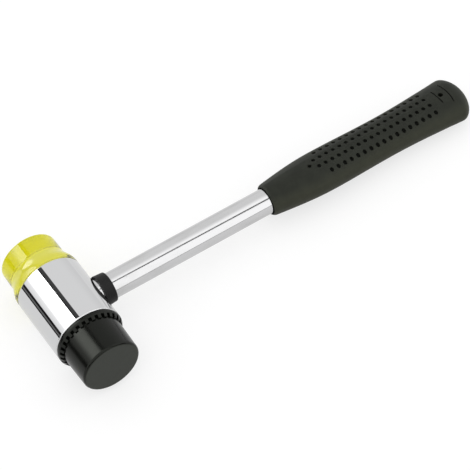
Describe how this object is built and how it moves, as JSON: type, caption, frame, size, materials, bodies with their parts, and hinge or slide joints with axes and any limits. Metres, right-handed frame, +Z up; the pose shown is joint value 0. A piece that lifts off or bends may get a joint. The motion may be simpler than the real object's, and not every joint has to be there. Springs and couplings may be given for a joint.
{
  "type": "soft face hammer",
  "caption": "Soft face hammer with a plated barrel head, a screw-in clear yellow face, a screw-in black rubber face, a plated tube handle and a dimpled rubber grip.",
  "frame": {"origin": "On the surface that the hammer lies on, under the middle of its bounding box", "axes": "+X along the handle from the head to the butt, +Y along the barrel towards the clear face, +Z up; the handle slopes down 2.35 degrees to the butt, as it rests"},
  "size_m": [0.2818, 0.0894, 0.04],
  "materials": {
    "plated_steel": "polished chrome plate",
    "clear_yellow_plastic": "clear, tinted acid yellow",
    "white_nylon": "plain moulded",
    "face_rubber": "satin black",
    "stud_steel": "zinc plated",
    "black_fibre": "pressed fibre",
    "plated_tube": "satin chrome plate",
    "spring_steel": "oiled",
    "collar_plastic": "fine matt black",
    "grip_rubber": "matt charcoal black",
    "plug_plastic": "plain moulded"
  },
  "bodies": {
    "hammer": {"head_barrel": "plated_steel", "handle_tube": "plated_tube", "handle_pin": "spring_steel", "handle_collar": "collar_plastic", "grip_sleeve": "grip_rubber", "tube_end_plug": "plug_plastic"},
    "clear_washer": {"clear_face_washer": "white_nylon"},
    "clear_face": {"clear_face": "clear_yellow_plastic"},
    "rubber_washer": {"rubber_face_washer": "black_fibre"},
    "rubber_face": {"rubber_face": "face_rubber", "rubber_face_stud": "stud_steel"}
  },
  "joints": [
    {"name": "clear_face_travel", "type": "slide", "parent": "hammer", "child": "clear_washer", "axis": [0, 1, 0], "range_m": [0, 0.0125]},
    {"name": "clear_face_turn", "type": "hinge", "parent": "clear_washer", "child": "clear_face", "pos_m": [-0.12089, 0.0216, 0.02], "axis": [0, 1, 0], "range_deg": [0, 1800]},
    {"name": "rubber_face_travel", "type": "slide", "parent": "hammer", "child": "rubber_washer", "axis": [0, -1, 0], "range_m": [0, 0.0125]},
    {"name": "rubber_face_turn", "type": "hinge", "parent": "rubber_washer", "child": "rubber_face", "pos_m": [-0.12089, -0.0204, 0.02], "axis": [0, -1, 0], "range_deg": [0, 1800]}
  ],
  "couplings": [
    {"joint": "clear_face_turn", "follows": "clear_face_travel", "rad_per_m": 2513.3},
    {"joint": "rubber_face_turn", "follows": "rubber_face_travel", "rad_per_m": 2513.3}
  ]
}
